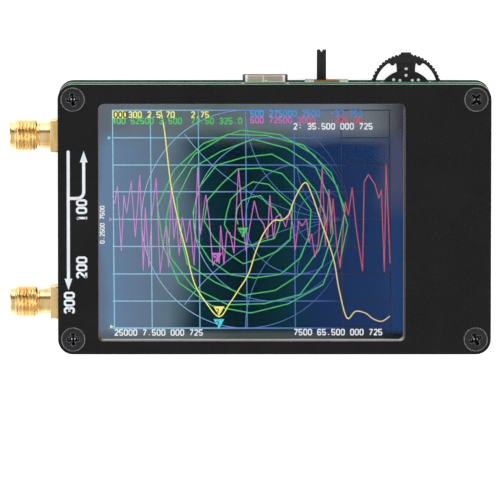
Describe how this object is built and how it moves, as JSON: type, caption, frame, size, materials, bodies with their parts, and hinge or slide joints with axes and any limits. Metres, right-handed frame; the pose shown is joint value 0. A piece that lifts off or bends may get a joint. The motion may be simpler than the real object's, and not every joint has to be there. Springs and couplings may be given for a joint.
{
  "type": "antenna analyzer",
  "caption": "Pocket antenna analyzer of stacked circuit boards: a touch display in front, coaxial ports on the left, and a charging socket, slide switch and jog wheel on the upper edge.",
  "frame": {"origin": "middle of the rear panel's outer face, on which the device lies", "axes": "+Z out of the display, +Y towards the edge with the charging socket, switch and jog wheel, +X away from the coaxial ports"},
  "size_m": [0.0951, 0.0599, 0.0114],
  "materials": {
    "panel_mask": "matte black solder mask on glass-fibre laminate",
    "board_green": "green solder mask on glass-fibre laminate",
    "black_steel": "black zinc on steel",
    "pillar_brass": "turned",
    "touch_glass": "clear, smooth",
    "display_glass": "dark display glass",
    "flex_film": "amber film with copper tracks",
    "display_frame": "white moulded frame",
    "light_guide": "clear acrylic",
    "display_steel": "rolled",
    "foam_tape": "foam with adhesive",
    "port_gold": "gold plated, bright",
    "port_dielectric": "white, waxy",
    "socket_steel": "drawn and nickel plated",
    "socket_plastic": "moulded",
    "contact_gold": "gold plated",
    "base_resin": "pressed brown resin board",
    "tinned_metal": "tinned",
    "control_plastic": "moulded, fine grain",
    "spring_steel": "drawn wire",
    "battery_pouch": "laminated foil pouch",
    "battery_film": "amber tape",
    "lead_red": "soft insulation",
    "lead_black": "soft insulation",
    "plug_plastic": "moulded",
    "chip_resin": "moulded epoxy",
    "coil_ferrite": "pressed ferrite",
    "small_ceramic": "fired",
    "lamp_resin": "clear resin"
  },
  "bodies": {
    "case": {"battery_cell": "battery_pouch", "battery_circuit": "battery_film", "battery_lead_black": "lead_black", "battery_lead_red": "lead_red", "battery_plug": "plug_plastic", "battery_socket": "plug_plastic", "battery_tape": "foam_tape", "charger_chip": "chip_resin", "clock_chip": "chip_resin", "codec_chip": "chip_resin", "crystal": "socket_steel", "front_panel": "panel_mask", "front_screws": "black_steel", "front_standoffs": "pillar_brass", "inductor": "coil_ferrite", "jog_base": "control_plastic", "jog_cover": "control_plastic", "jog_dome": "contact_gold", "jog_studs": "tinned_metal", "jog_terminals": "tinned_metal", "lcd_back_plate": "display_steel", "lcd_flex": "flex_film", "lcd_frame": "display_frame", "lcd_glass": "display_glass", "lcd_tape": "foam_tape", "light_guide": "light_guide", "main_board": "board_green", "mixer_chips": "chip_resin", "passives": "small_ceramic", "port_1_contact": "port_gold", "port_1_insulator": "port_dielectric", "port_1_shell": "port_gold", "port_2_contact": "port_gold", "port_2_insulator": "port_dielectric", "port_2_shell": "port_gold", "processor_chip": "chip_resin", "processor_legs": "tinned_metal", "rear_panel": "panel_mask", "rear_screws": "black_steel", "rear_standoffs": "pillar_brass", "shield_frame": "socket_steel", "shield_lid": "socket_steel", "status_leds": "lamp_resin", "switch_base": "base_resin", "switch_frame": "socket_steel", "switch_terminals": "tinned_metal", "touch_flex": "flex_film", "touch_panel": "touch_glass", "usb_contacts": "contact_gold", "usb_shell": "socket_steel", "usb_tongue": "socket_plastic"},
    "power_lever": {"switch_lever": "control_plastic", "switch_contact_clip": "contact_gold"},
    "jog_slider": {"jog_carriage": "control_plastic", "jog_pivot_pin": "spring_steel", "jog_return_spring": "spring_steel"},
    "jog_lever": {"jog_wheel": "control_plastic", "jog_wiper": "contact_gold"}
  },
  "joints": [
    {"name": "power_slide", "type": "slide", "parent": "case", "child": "power_lever", "axis": [1, 0, 0], "range_m": [0, 0.002]},
    {"name": "jog_press", "type": "slide", "parent": "case", "child": "jog_slider", "axis": [0, -1, 0], "range_m": [0, 0.0005], "stiffness_N_per_m": 20},
    {"name": "jog_rock", "type": "hinge", "parent": "jog_slider", "child": "jog_lever", "pos_m": [0.026, 0.0252, 0.0035], "axis": [0, 0, 1], "range_deg": [-15, 15], "stiffness_Nm_per_rad": 0.0001}
  ]
}
